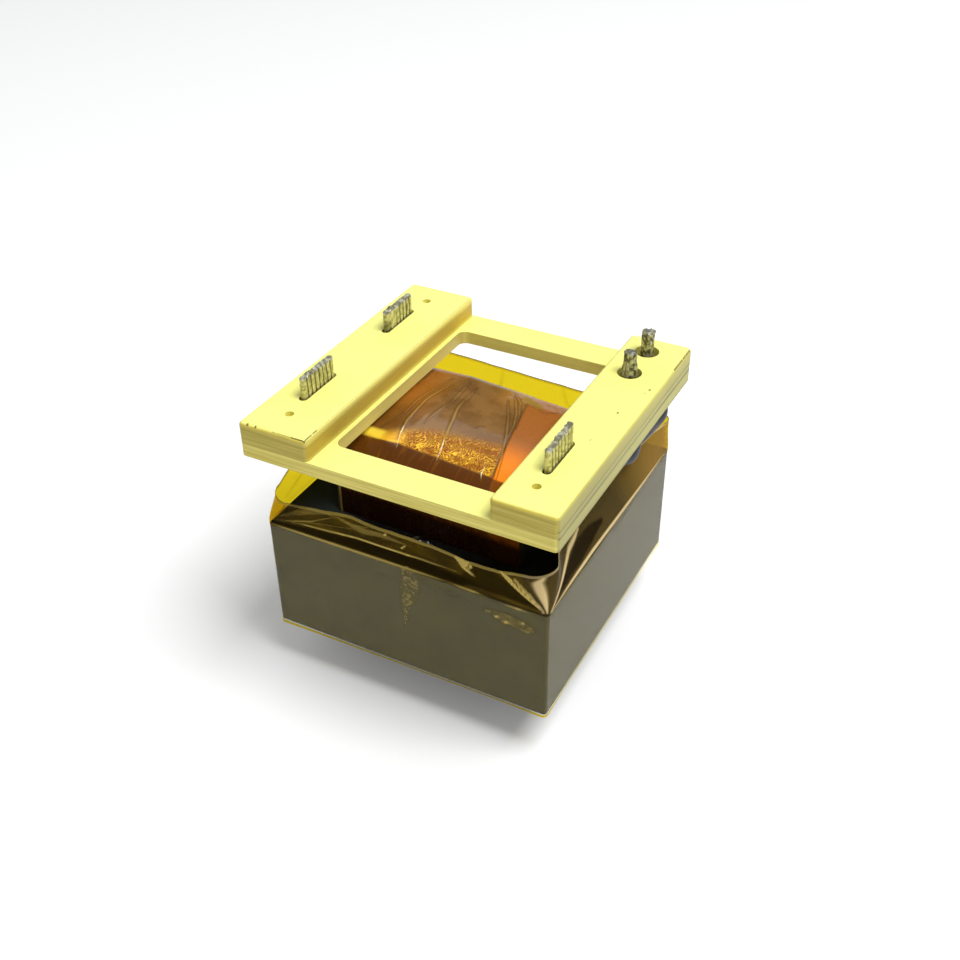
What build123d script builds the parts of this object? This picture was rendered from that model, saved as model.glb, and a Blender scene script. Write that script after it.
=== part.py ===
from build123d import *
import math
import os

os.makedirs("parts", exist_ok=True)

# Sizes in millimetres. The transformer stands on the underside of its coil. The origin is on
# the table under the middle of the core, +X runs along the coil's axis, +Z points to the pins,
# and -Y is the side with the drop of glue.

# Ferrite core, a pair of like E halves whose legs meet at x = 0
core_width = 65.0
core_half_length = 32.8
core_thickness = 27.4
leg_centre = 20.0
leg_opening = 44.2
core_back = 10.6
core_corner = 0.8
core_edge = 0.4

# Coil former, a square tube on the centre leg with a thin cheek at each end
former_fit = 0.3
former_wall = 1.0
former_end_gap = 0.2
cheek_thickness = 0.9
cheek_overhang = 9.0
cheek_corner = 3.0

# Wound layers beside the leg, from the former outwards. The tapes have their own thickness, and
# the wire takes up the rest of the core's opening in these shares.
coil_side_gap = 0.6
primary_inner_share = 12 / 44
secondary_share = 11 / 44
primary_outer_share = 10 / 44
tape_build = 0.3
wrap_build = 0.5
layer_fit = 0.05

# The coil bellies out over and under the core, more at its left end than at its right
coil_under = 11.5
coil_over = 17.5
coil_over_left = 17.2
coil_over_right = 15.1
coil_crest_x = -10.0
coil_crown = 2.5
shoulder_radius = 8.0
underside_radius = 9.0
wound_corner = 1.0

# Film band round the core, flush on it below and standing free as a skirt above
film = 0.3
film_fit = 0.05
skirt_below = 0.6
skirt_corner = 5.5
skirt_corner_height = 7.0

# Between their corners the skirt's front and right walls lean in over the core by these shares
# of their height, over a run from each corner
lean_front = 0.375
lean_right = 0.5
lean_run = 7.0

# Height of the skirt's wavy rim over the core, at even steps along each wall
rim_front = [6.5, 6.0, 6.7, 6.3, 6.3, 6.1, 5.4, 5.9, 8.0]
rim_right = [8.0, 7.6, 7.4, 7.3, 7.3, 7.4, 7.4, 7.6, 8.6]
rim_back = [10.2, 10.4, 10.1, 9.8, 9.4, 9.1, 9.0, 8.8, 8.6]
rim_left = [6.5, 8.6, 8.8, 8.8, 8.8, 9.0, 9.3, 9.8, 10.2]

# Drop of glue on the front joint
glue_width = 7.0
glue_depth = 5.0
glue_height = 1.6

# Pin board: a thin frame with two thick bars glued on it, a little larger than the wrapped core
board_over_ends = 2.15
board_over_sides = 1.9
board_over_coil = 0.3
frame_thickness = 3.0
bar_thickness = 5.0
bar_left_width = 16.4
bar_right_width = 14.1
bar_corner = 1.0
bar_edge = 1.0
window_left = 17.5
window_right = 15.1
window_rail = 7.85
window_corner = 2.0

# Flat terminals, rows of tinned strands that stand up through slots in the bars
pin_height = 5.3
strand = 1.35
strand_pitch = 1.41
strand_count = 8
strand_unevenness = 0.15
solder_web = 0.8
slot_clearance = 0.3
slot_end_clearance = 0.6
comb_inset_left = 6.9
comb_inset_right = 8.1
comb_left_end_inset = 18.55
comb_right_end_inset = 17.45

# Round terminals, tinned bundles that widen downwards in wide holes
bundle = 2.9
bundle_foot = 3.9
bundle_hole = 5.3
bundle_inset = 8.1
bundle_end_inset = 6.35
bundle_spacing = 10.1
front_flare_top = 2.3
back_flare_top = 0.2
bundle_top_edge = 0.3

# Small holes drilled through the bars, closed below by the frame
peg_hole = 1.9
peg_inset = 7.8
peg_end_inset = 7.05

# Sleeved leads from the coil's ends to the board
lead_over_cheek = 0.6
flat_lead_width = 12.0
flat_lead_thickness = 2.6
flat_lead_edge = 0.7
flat_lead_below_board = 0.3
flat_lead_back_turn = 50.0
round_lead = 4.2
round_lead_to_film = 0.4
round_lead_in_hole = 4.3

# Core and board sizes that follow from the sizes above
window_depth = core_half_length - core_back
board_length = 2 * (core_half_length + film_fit + film + board_over_ends)
board_depth = 2 * (core_width / 2 + film_fit + film + board_over_sides)

# Heights that follow
core_bottom = coil_under
core_top = core_bottom + core_thickness
core_middle = core_bottom + core_thickness / 2
board_bottom = core_top + coil_over + board_over_coil
frame_top = board_bottom + frame_thickness
bar_top = frame_top + bar_thickness
pin_top = bar_top + pin_height

# Coil sizes that follow
tube_half_width = leg_centre / 2 + former_fit + former_wall
tube_half_height = core_thickness / 2 + former_fit + former_wall
former_end = window_depth - former_end_gap
coil_end = former_end - cheek_thickness
coil_half_width = leg_opening / 2 - coil_side_gap
coil_build = coil_half_width - tube_half_width
wire_build = coil_build - 3 * tape_build - wrap_build
layers = [
    ("primary_inner", primary_inner_share * wire_build),
    ("insulation_inner", tape_build),
    ("secondary_inner", secondary_share * wire_build),
    ("insulation_middle", tape_build),
    ("secondary_outer", secondary_share * wire_build),
    ("insulation_outer", tape_build),
    ("primary_outer", primary_outer_share * wire_build),
    ("outer_wrap", wrap_build),
]


def between(low, high, share):
    """Go the given share of the way from low to high."""
    return low + (high - low) * share


def label_and_write(part, name):
    """Name a finished piece and write it to its file."""
    part.label = name
    export_step(part, f"parts/{name}.step")


# Core halves: an E outline carried through the core's thickness. The outer legs and the
# centre leg of one half meet those of the other face to face.
def core_half(side):
    """Make one E half; side is -1 for the left one and 1 for the right one."""
    back_x = side * core_half_length
    root_x = side * window_depth
    with BuildPart() as half:
        with BuildSketch(Plane.XY.offset(core_bottom)):
            with BuildLine():
                Polyline(
                    (0, core_width / 2),
                    (back_x, core_width / 2),
                    (back_x, -core_width / 2),
                    (0, -core_width / 2),
                    (0, -leg_opening / 2),
                    (root_x, -leg_opening / 2),
                    (root_x, -leg_centre / 2),
                    (0, -leg_centre / 2),
                    (0, leg_centre / 2),
                    (root_x, leg_centre / 2),
                    (root_x, leg_opening / 2),
                    (0, leg_opening / 2),
                    close=True,
                )
            make_face()
        extrude(amount=core_thickness)
        corners = half.edges().filter_by(Axis.Z).group_by(Axis.X)[0 if side < 0 else -1]
        fillet(corners, radius=core_corner)
        back_rims = half.edges().filter_by(Axis.Y).group_by(Axis.X)[0 if side < 0 else -1]
        chamfer(back_rims, length=core_edge)
    return half.part


core_half_left = core_half(-1)
label_and_write(core_half_left, "core_half_left")
core_half_right = core_half(1)
label_and_write(core_half_right, "core_half_right")

# Coil former: the tube slides over the centre leg, and its cheeks keep the winding off the
# backs of the core. The leads leave over the top edges of the cheeks.
cheek_half_height = core_thickness / 2 + cheek_overhang
with BuildPart() as coil_former:
    with BuildSketch(Plane.YZ.offset(-former_end)):
        with Locations((0, core_middle)):
            RectangleRounded(2 * tube_half_width, 2 * tube_half_height, wound_corner)
    extrude(amount=2 * former_end)
    for cheek_x in (-former_end, coil_end):
        with BuildSketch(Plane.YZ.offset(cheek_x)):
            with Locations((0, core_middle)):
                RectangleRounded(2 * coil_half_width, 2 * cheek_half_height, cheek_corner)
        extrude(amount=cheek_thickness)
    with BuildSketch(Plane.YZ.offset(-former_end)):
        with Locations((0, core_middle)):
            Rectangle(leg_centre + 2 * former_fit, core_thickness + 2 * former_fit)
    extrude(amount=2 * former_end, mode=Mode.SUBTRACT)
label_and_write(coil_former.part, "coil_former")


# Wound layers: each is a closed sleeve round the former. Its outline grows from the former's
# square to the bellied outside of the coil, and changes along the coil's axis.
def coil_outline(x, over, build):
    """Draw the coil's outline at x, for a layer whose outside lies build from the former."""
    share = build / coil_build
    half_width = tube_half_width + build
    top = between(core_middle + tube_half_height, core_top + over, share)
    bottom = between(core_middle - tube_half_height, 0, share)
    crown = coil_crown * share
    with BuildSketch(Plane.YZ.offset(x)) as outline:
        with BuildLine():
            side_top = top - crown
            Polyline((-half_width, side_top), (-half_width, bottom), (half_width, bottom), (half_width, side_top))
            if crown > 0:
                ThreePointArc((half_width, side_top), (0, top), (-half_width, side_top))
            else:
                Line((half_width, side_top), (-half_width, side_top))
        make_face()
        low = outline.vertices().group_by(Axis.Z)[0]
        high = outline.vertices().group_by(Axis.Z)[-1]
        fillet(low, radius=between(wound_corner, underside_radius, share))
        fillet(high, radius=between(wound_corner, shoulder_radius, share))
    return outline.sketch.face()


def coil_outlines(build):
    """Draw the outlines of a layer at its left end, under its crest and at its right end."""
    stations = [(-coil_end, coil_over_left), (coil_crest_x, coil_over), (coil_end, coil_over_right)]
    return [coil_outline(x, over, build) for x, over in stations]


def wound_layer(inside, outside):
    """Make the sleeve between two builds from the former."""
    with BuildPart() as layer:
        loft(sections=coil_outlines(outside), ruled=True)
        loft(sections=coil_outlines(inside), ruled=True, mode=Mode.SUBTRACT)
    return layer.part


build_so_far = 0
for layer_name, layer_build in layers:
    layer_part = wound_layer(build_so_far + layer_fit, build_so_far + layer_build)
    label_and_write(layer_part, layer_name)
    build_so_far += layer_build

# Film band: it lies flat on the four sides of the core, hangs a little under it, and its wide
# upper part stands free round the coil, with open round corners and a wavy rim.
band_half_length = core_half_length + film_fit
band_half_width = core_width / 2 + film_fit
rim_top = core_top + max(rim_front + rim_right + rim_back + rim_left) + 1.0


def band_section(height, corner, outward):
    """Draw the band's outline at a height, moved outward by the given distance: walls that lean in
    between their corners where they stand free, and round corners."""
    half_length = band_half_length + outward
    half_width = band_half_width + outward
    straight_x = band_half_length - corner
    straight_y = band_half_width - corner
    free = max(height - core_top, 0)
    front_y = lean_front * free - half_width
    right_x = half_length - lean_right * free
    with BuildSketch(Plane.XY.offset(height)) as section:
        with BuildLine():
            Polyline(
                (-straight_x, -half_width),
                (lean_run - straight_x, front_y),
                (straight_x - lean_run, front_y),
                (straight_x, -half_width),
            )
            CenterArc((straight_x, -straight_y), corner + outward, -90, 90)
            Polyline(
                (half_length, -straight_y),
                (right_x, lean_run - straight_y),
                (right_x, straight_y - lean_run),
                (half_length, straight_y),
            )
            CenterArc((straight_x, straight_y), corner + outward, 0, 90)
            Line((straight_x, half_width), (-straight_x, half_width))
            CenterArc((-straight_x, straight_y), corner + outward, 90, 90)
            Line((-half_length, straight_y), (-half_length, -straight_y))
            CenterArc((-straight_x, -straight_y), corner + outward, 180, 90)
        make_face()
    return section.sketch.face()


def band_sections(outward):
    """Draw the outlines of the free part, whose corners open out as it rises."""
    return [
        band_section(core_top, core_corner, outward),
        band_section(core_top + skirt_corner_height, skirt_corner, outward),
        band_section(rim_top, skirt_corner, outward),
    ]


def trim_wall(plane, half_length, heights, depth):
    """Cut the part in work down to the wavy line of heights, on the wall that faces the plane."""
    step = 2 * half_length / (len(heights) - 1)
    points = [(i * step - half_length, core_top + height) for i, height in enumerate(heights)]
    with BuildSketch(plane) as above:
        with BuildLine():
            rim = Spline(*points)
            Polyline(rim @ 1, (half_length, rim_top + film), (-half_length, rim_top + film), rim @ 0)
        make_face()
    return extrude(to_extrude=above.sketch, amount=-depth, mode=Mode.PRIVATE)


wall_reach = 2 * film
trim_depth = skirt_corner + wall_reach + lean_right * (rim_top - core_top - skirt_corner_height)
front_reach = band_half_length + wall_reach
side_reach = band_half_width + wall_reach
front_plane = Plane(origin=(0, -side_reach, 0), x_dir=(1, 0, 0), z_dir=(0, -1, 0))
back_plane = Plane(origin=(0, side_reach, 0), x_dir=(1, 0, 0), z_dir=(0, -1, 0))
right_plane = Plane(origin=(front_reach, 0, 0), x_dir=(0, 1, 0), z_dir=(1, 0, 0))
left_plane = Plane(origin=(-front_reach, 0, 0), x_dir=(0, 1, 0), z_dir=(1, 0, 0))
with BuildPart() as core_band:
    for outward, mode in ((film, Mode.ADD), (0, Mode.SUBTRACT)):
        lower = band_section(core_bottom - skirt_below, core_corner, outward)
        extrude(to_extrude=lower, amount=skirt_below + core_thickness, mode=mode)
        loft(sections=band_sections(outward), ruled=True, mode=mode)
    add(trim_wall(front_plane, front_reach, rim_front, trim_depth), mode=Mode.SUBTRACT)
    add(trim_wall(back_plane, front_reach, rim_back, -trim_depth), mode=Mode.SUBTRACT)
    add(trim_wall(right_plane, side_reach, rim_right, trim_depth), mode=Mode.SUBTRACT)
    add(trim_wall(left_plane, side_reach, rim_left, -trim_depth), mode=Mode.SUBTRACT)
label_and_write(core_band.part, "core_band")

# Drop of glue, set on the joint of the two front legs close to the coil. It is the top of a
# spindle whose section across is a circle through the drop's two edges and its crest.
glue_y = -(leg_opening / 2 + glue_depth / 2)
glue_round = (glue_height**2 + (glue_depth / 2) ** 2) / (2 * glue_height)
glue_sunk = glue_round - glue_height
glue_half_length = glue_width / 2 / math.sqrt(1 - (glue_sunk / glue_round) ** 2)
spindle_plane = Plane(origin=(0, glue_y, core_top - glue_sunk), x_dir=(1, 0, 0), z_dir=(0, -1, 0))
with BuildPart() as joint_glue:
    with BuildSketch(spindle_plane):
        with BuildLine():
            EllipticalCenterArc((0, 0), glue_half_length, glue_round, arc_size=180)
            Line((-glue_half_length, 0), (glue_half_length, 0))
        make_face()
    revolve(axis=Axis((0, glue_y, core_top - glue_sunk), (1, 0, 0)))
    split(bisect_by=Plane.XY.offset(core_top), keep=Keep.TOP)
label_and_write(joint_glue.part, "joint_glue")

# Places of the terminals on the board, counted in from its edges
comb_left_x = -(board_length / 2 - comb_inset_left)
comb_right_x = board_length / 2 - comb_inset_right
bundle_x = board_length / 2 - bundle_inset
bundle_back_y = board_depth / 2 - bundle_end_inset
bundle_front_y = bundle_back_y - bundle_spacing
comb_left_y = board_depth / 2 - comb_left_end_inset
comb_right_y = board_depth / 2 - comb_right_end_inset
combs = [
    ("left_front", comb_left_x, -comb_left_y),
    ("left_back", comb_left_x, comb_left_y),
    ("right_front", comb_right_x, -comb_right_y),
]
bundles = [("front", bundle_front_y), ("back", bundle_back_y)]
comb_length = (strand_count - 1) * strand_pitch + strand
slot_length = comb_length + 2 * slot_end_clearance
slot_width = strand + 2 * slot_clearance


def wire_openings(height):
    """Draw the slots and the round holes that the wire ends pass, at a height."""
    with BuildSketch(Plane.XY.offset(height)) as openings:
        with Locations(*[(x, y) for _, x, y in combs]):
            SlotOverall(slot_length, slot_width, rotation=90)
        with Locations(*[(bundle_x, y) for _, y in bundles]):
            Circle(bundle_hole / 2)
    return openings.sketch


# Board frame: thin laminate, with the window over the coil. Its long rails are narrow and its
# ends are wide, under the bars.
window_length = board_length - window_left - window_right
window_depth_y = board_depth - 2 * window_rail
with BuildPart() as board_frame:
    with BuildSketch(Plane.XY.offset(board_bottom)):
        RectangleRounded(board_length, board_depth, bar_corner)
        with Locations(((window_left - window_right) / 2, 0)):
            RectangleRounded(window_length, window_depth_y, window_corner, mode=Mode.SUBTRACT)
    extrude(amount=frame_thickness)
    extrude(to_extrude=wire_openings(board_bottom), amount=frame_thickness, mode=Mode.SUBTRACT)
label_and_write(board_frame.part, "board_frame")


# Bars: thick laminate glued on the frame's two ends, with rounded upper edges
def bar(side, width, peg_places):
    """Make one bar; side is -1 for the left one and 1 for the right one."""
    centre_x = side * (board_length - width) / 2
    with BuildPart() as body:
        with BuildSketch(Plane.XY.offset(frame_top)):
            with Locations((centre_x, 0)):
                RectangleRounded(width, board_depth, bar_corner)
        extrude(amount=bar_thickness)
        fillet(body.faces().sort_by(Axis.Z)[-1].edges(), radius=bar_edge)
        extrude(to_extrude=wire_openings(frame_top), amount=bar_thickness, mode=Mode.SUBTRACT)
        with BuildSketch(Plane.XY.offset(frame_top)):
            with Locations(*peg_places):
                Circle(peg_hole / 2)
        extrude(amount=bar_thickness, mode=Mode.SUBTRACT)
    return body.part


peg_x = board_length / 2 - peg_inset
peg_y = board_depth / 2 - peg_end_inset
bar_left = bar(-1, bar_left_width, [(-peg_x, -peg_y), (-peg_x, peg_y)])
label_and_write(bar_left, "bar_left")
bar_right = bar(1, bar_right_width, [(peg_x, -peg_y)])
label_and_write(bar_right, "bar_right")

# Flat terminals: eight round strands side by side, joined by a web of solder, and cut off
# a little unevenly. They stand on the ends of their sleeved leads, under the board.
comb_foot = board_bottom - flat_lead_below_board


def comb(x, y):
    """Make one row of strands, centred on x and y."""
    first_y = y - (strand_count - 1) * strand_pitch / 2
    with BuildPart() as row:
        for i in range(strand_count):
            top = pin_top - strand_unevenness * (1 - math.sin(2.3 * i + x))
            with BuildSketch(Plane.XY.offset(comb_foot)):
                with Locations((x, first_y + i * strand_pitch)):
                    Circle(strand / 2)
            extrude(amount=top - comb_foot)
        with BuildSketch(Plane.XY.offset(comb_foot)):
            with Locations((x, y)):
                Rectangle(solder_web, (strand_count - 1) * strand_pitch)
        extrude(amount=pin_top - 3 * strand_unevenness - comb_foot)
    return row.part


for comb_name, comb_x, comb_y in combs:
    label_and_write(comb(comb_x, comb_y), f"comb_{comb_name}")


# Round terminals: turned outlines, widest where the strands leave the sleeve inside the hole
sleeve_top = board_bottom + round_lead_in_hole


def round_bundle(y, flare_top):
    """Make one bundle at y; its straight part starts flare_top over the bar."""
    centre = Axis((bundle_x, y, 0), (0, 0, 1))
    with BuildPart() as body:
        with BuildSketch(Plane(origin=(bundle_x, y, 0), x_dir=(1, 0, 0), z_dir=(0, -1, 0))):
            with BuildLine():
                Polyline(
                    (0, sleeve_top),
                    (bundle_foot / 2, sleeve_top),
                    (bundle / 2, bar_top + flare_top),
                    (bundle / 2, pin_top - bundle_top_edge),
                    (bundle / 2 - bundle_top_edge, pin_top),
                    (0, pin_top),
                    close=True,
                )
            make_face()
        revolve(axis=centre)
    return body.part


for (bundle_name, bundle_y), flare_top in zip(bundles, (front_flare_top, back_flare_top)):
    label_and_write(round_bundle(bundle_y, flare_top), f"bundle_right_{bundle_name}")

# Flat leads: each leaves the coil's end over the cheek, bellies out towards the film and
# turns up under its slot. Its height is filled by the two bends.
cheek_top = core_middle + cheek_half_height
flat_lead_start = cheek_top + lead_over_cheek + flat_lead_thickness / 2
out_turn = 90 + flat_lead_back_turn
rise_share = 1 - math.cos(math.radians(out_turn)) - math.cos(math.radians(out_turn))
reach_share = 2 * math.sin(math.radians(out_turn)) - 1
flat_lead_bend = (comb_foot - flat_lead_start) / rise_share


def flat_lead(side, slot_x, y):
    """Make one flat lead; side is -1 for the left end of the coil and 1 for the right."""
    out_of_end = Plane(origin=(0, y, 0), x_dir=(side, 0, 0), z_dir=(0, -side, 0))
    straight_end = abs(slot_x) - flat_lead_bend * reach_share
    with BuildPart() as lead:
        with BuildLine(out_of_end):
            straight = Line((coil_end, flat_lead_start), (straight_end, flat_lead_start))
            belly = JernArc(straight @ 1, straight % 1, flat_lead_bend, out_turn)
            JernArc(belly @ 1, belly % 1, flat_lead_bend, -flat_lead_back_turn)
        with BuildSketch(Plane(origin=straight @ 0, x_dir=(0, 1, 0), z_dir=(side, 0, 0))):
            flat = Rectangle(flat_lead_width, flat_lead_thickness)
            chamfer(flat.vertices(), length=flat_lead_edge)
        sweep()
    return lead.part


for comb_name, comb_x, comb_y in combs:
    lead_part = flat_lead(math.copysign(1, comb_x), comb_x, comb_y)
    label_and_write(lead_part, f"lead_{comb_name}")

# Round leads: straight runs joined by arcs, each arc as large as its two runs allow. The back
# one lies along the film, and the front one stays inside it and rises sooner.
lead_start = cheek_top + lead_over_cheek + round_lead / 2
along_film_x = band_half_length - round_lead_to_film - round_lead / 2
front_route = [
    (coil_end, 8.6, lead_start + 0.3),
    (coil_end + 4.3, 8.6, lead_start + 0.3),
    (coil_end + 5.4, 13.4, lead_start + 1.4),
    (bundle_x, bundle_front_y, board_bottom - 2.2),
    (bundle_x, bundle_front_y, sleeve_top),
]
back_route = [
    (coil_end, 1.2, lead_start),
    (coil_end + 5.2, 1.2, lead_start),
    (along_film_x, 6.6, lead_start - 0.6),
    (along_film_x - 0.2, 14.6, lead_start - 1.6),
    (along_film_x, 22.8, lead_start + 0.6),
    (bundle_x, bundle_back_y, board_bottom - 2.2),
    (bundle_x, bundle_back_y, sleeve_top),
]


def corner_radii(points):
    """List the radius for each corner: 0.45 of its shorter run over the tangent of half its turn."""
    radii = []
    for before, corner, after in zip(points, points[1:], points[2:]):
        first = Vector(*corner) - Vector(*before)
        second = Vector(*after) - Vector(*corner)
        half_turn = math.radians(first.get_angle(second)) / 2
        radii.append(0.45 * min(first.length, second.length) / math.tan(half_turn))
    return radii


def round_sleeve(points):
    """Make one round lead along its route."""
    radii = corner_radii(points)
    with BuildPart() as lead:
        with BuildLine():
            path = FilletPolyline(*points, radius=radii)
        with BuildSketch(Plane(origin=path @ 0, z_dir=path % 0)):
            Circle(round_lead / 2)
        sweep()
    length = path.length
    expected = math.pi * (round_lead / 2) ** 2 * length
    print("round lead length", round(length, 1), "radii", [round(r, 2) for r in radii])
    print("volume over section times length", round(lead.part.volume / expected, 4))
    return lead.part


for (bundle_name, _), route_points in zip(bundles, (front_route, back_route)):
    label_and_write(round_sleeve(route_points), f"lead_bundle_{bundle_name}")
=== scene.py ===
import math

import bpy
import numpy as np
from mathutils import Matrix, Vector


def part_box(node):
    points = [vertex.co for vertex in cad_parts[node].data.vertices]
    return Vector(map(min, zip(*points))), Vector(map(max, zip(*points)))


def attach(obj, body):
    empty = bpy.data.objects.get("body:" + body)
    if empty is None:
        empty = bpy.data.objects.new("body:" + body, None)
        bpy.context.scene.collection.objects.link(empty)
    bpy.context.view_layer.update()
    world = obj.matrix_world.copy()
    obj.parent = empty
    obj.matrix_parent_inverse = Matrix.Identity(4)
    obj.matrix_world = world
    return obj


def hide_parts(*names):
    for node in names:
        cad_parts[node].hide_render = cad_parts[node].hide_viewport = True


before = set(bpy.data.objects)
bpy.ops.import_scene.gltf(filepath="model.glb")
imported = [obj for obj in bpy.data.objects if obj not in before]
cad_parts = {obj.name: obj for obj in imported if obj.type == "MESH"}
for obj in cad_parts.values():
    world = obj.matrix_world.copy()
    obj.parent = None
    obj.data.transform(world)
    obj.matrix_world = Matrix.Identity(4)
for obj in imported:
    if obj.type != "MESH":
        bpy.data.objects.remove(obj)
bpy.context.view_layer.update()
mm = 0.001


# Studio. The transformer stands on a white table and is seen from above its front right corner.
# A broad soft light hangs over it on the right, and a long low one behind it on the left gives
# the gloss on the winding. Everything round the table is white.
class Wire:
    """An output of a material's node. Sums with it add Math nodes."""

    def __init__(self, paint, socket):
        self.paint = paint
        self.socket = socket

    def math(self, operation, *others):
        values = dict(enumerate((self, *others)))
        return self.paint.node("Math", {"operation": operation}, values)

    def rise(self, low, high):
        """A smooth step from 0 at low to 1 at high."""
        values = {"Value": self, "From Min": low, "From Max": high}
        return self.paint.node("MapRange", {"interpolation_type": "SMOOTHSTEP"}, values)

    def band(self, low, high, soft):
        """A mask that is 1 between low and high, with soft edges."""
        return self.rise(low - soft, low + soft) * (1 - self.rise(high - soft, high + soft))

    def __add__(self, other):
        return self.math("ADD", other)

    def __mul__(self, other):
        return self.math("MULTIPLY", other)

    def __sub__(self, other):
        return self.math("SUBTRACT", other)

    def __rsub__(self, other):
        return self * -1.0 + other

    def __truediv__(self, other):
        return self.math("DIVIDE", other)

    __radd__ = __add__
    __rmul__ = __mul__


class Paint:
    """One material, or the light of the room, built up node by node."""

    def __init__(self, name, kind="materials"):
        self.block = getattr(bpy.data, kind).new(name)
        self.block.use_nodes = True
        self.tree = self.block.node_tree
        self.tree.nodes.clear()

    def node(self, kind, settings=None, sockets=None, output=0):
        """Add a node, fill in its settings and its sockets, and give one of its outputs."""
        node = self.tree.nodes.new("ShaderNode" + kind)
        for name, value in (settings or {}).items():
            setattr(node, name, value)
        for name, value in (sockets or {}).items():
            if isinstance(value, Wire):
                self.tree.links.new(value.socket, node.inputs[name])
            elif isinstance(value, tuple) and node.inputs[name].type == "RGBA":
                node.inputs[name].default_value = (*value, 1.0)
            else:
                node.inputs[name].default_value = value
        return Wire(self, node.outputs[output])

    def place(self):
        """The place on the object, in millimetres."""
        metres = self.node("TexCoord", output="Object")
        return self.node("VectorMath", {"operation": "SCALE"}, {0: metres, "Scale": 1 / mm})

    def parts(self, vector):
        """The three numbers of a vector."""
        return [self.node("SeparateXYZ", {}, {0: vector}, output=i) for i in range(3)]

    def stretch(self, vector, factors):
        """The vector with each of its numbers multiplied by its own factor."""
        return self.node("VectorMath", {"operation": "MULTIPLY"}, {0: vector, 1: factors})

    def noise(self, vector, size, detail=3.0, roughness=0.5, distortion=0.0):
        """Cloudy noise from 0 to 1, with clouds of about the given size in millimetres."""
        values = {"Vector": vector, "Scale": 1 / size, "Detail": detail}
        values.update({"Roughness": roughness, "Distortion": distortion})
        return self.node("TexNoise", {}, values)

    def blend(self, mask, first, second):
        """The first colour where the mask is 0, and the second where it is 1."""
        return self.node("Mix", {"data_type": "RGBA"}, {0: mask, 6: first, 7: second}, output=2)

    def coats(self, colour, *layers):
        """The colour with others laid over it in turn, each given with its mask."""
        for mask, over in layers:
            colour = self.blend(mask, colour, over)
        return colour

    def bump(self, height, depth, under=None):
        """Bend the surface's light as if it had this height, in millimetres times depth."""
        values = {"Height": height, "Distance": depth * mm, "Strength": 1.0}
        if under is not None:
            values["Normal"] = under
        return self.node("Bump", {}, values)

    def attribute(self, name):
        """A vector that the mesh carries at its points."""
        return self.node("Attribute", {"attribute_name": name}, output="Vector")

    def principled(self, **sockets):
        """The standard surface, with its sockets named in plain words."""
        named = {key.replace("_", " ").title(): value for key, value in sockets.items()}
        named = {name.replace("Ior", "IOR"): value for name, value in named.items()}
        return self.node("BsdfPrincipled", {}, named)

    def finish(self, shader, target="Material"):
        """Send a shader to the output."""
        end = self.tree.nodes.new("ShaderNodeOutput" + target)
        self.tree.links.new(shader.socket, end.inputs["Surface"])
        return self.block

    def surface(self, **sockets):
        """Give the material the standard surface."""
        return self.finish(self.principled(**sockets))


def tone(red, green, blue):
    """Turn a screen colour, 0 to 255, into the amounts of light that a shader takes."""
    shares = [value / 255 for value in (red, green, blue)]
    return tuple(s / 12.92 if s <= 0.04045 else ((s + 0.055) / 1.055) ** 2.4 for s in shares)


camera_place = Vector((0.1029, -0.1903, 0.1934))
camera_bearing = math.radians(28.188)
camera_dip = math.radians(35.388)
camera_roll = math.radians(-0.709)
lens = bpy.data.cameras.new("camera")
lens.lens = 45.08
lens.sensor_width = 36.0
camera = bpy.data.objects.new("camera", lens)
bpy.context.collection.objects.link(camera)
camera.matrix_world = (
    Matrix.Translation(camera_place)
    @ Matrix.Rotation(camera_bearing, 4, "Z")
    @ Matrix.Rotation(math.pi / 2 - camera_dip, 4, "X")
    @ Matrix.Rotation(camera_roll, 4, "Z")
)
bpy.context.scene.camera = camera
bpy.context.scene.view_settings.view_transform = "Standard"

room_light = 0.41
dim_room = 0.22
room = Paint("room", "worlds")
bpy.context.scene.world = room.block


def ray_kinds(paint, *kinds):
    """1 for the rays of any of the given kinds, and 0 for the others."""
    either = 0.0
    for kind in kinds:
        either = paint.node("LightPath", output=kind).math("MAXIMUM", either)
    return either


_, _, upward = room.parts(room.node("TexCoord", output="Generated"))
over_horizon = upward.rise(0.02, 0.14)
mirrored = 1.0 - over_horizon * (1.0 - dim_room)
gloss_share = ray_kinds(room, "Is Glossy Ray", "Is Transmission Ray")
seen = ray_kinds(room, "Is Camera Ray")
strength = seen + (1.0 - seen) * (gloss_share * mirrored + (1.0 - gloss_share) * room_light)
sky = room.node("Background", {}, {"Color": (1.0, 1.0, 1.0), "Strength": strength})
room.finish(sky, "World")


def lamp(name, bearing, height, distance, size, share):
    """Hang a soft lamp. bearing is turned from +Y towards -X and height is above the table, in
    degrees. share is how bright it alone would make a white card that faces it."""
    light = bpy.data.lights.new(name, "AREA")
    light.shape = "RECTANGLE"
    light.size, light.size_y = size
    light.energy = share * (math.pi * distance) ** 2
    bearing, height = math.radians(bearing), math.radians(height)
    side = Vector((-math.sin(bearing), math.cos(bearing), 0)) * math.cos(height)
    direction = side + Vector((0, 0, math.sin(height)))
    hung = bpy.data.objects.new(name, light)
    bpy.context.collection.objects.link(hung)
    hung.location = Vector((0, 0, 0.03)) + direction * distance
    hung.rotation_euler = direction.to_track_quat("Z", "Y").to_euler()
    return hung


lamp("key_light", bearing=-90, height=66, distance=2.0, size=(1.0, 1.0), share=0.86)
gloss_lamp = lamp("back_light", bearing=37, height=48, distance=0.8, size=(0.6, 0.17), share=0.16)
gloss_lamp.visible_diffuse = False

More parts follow.
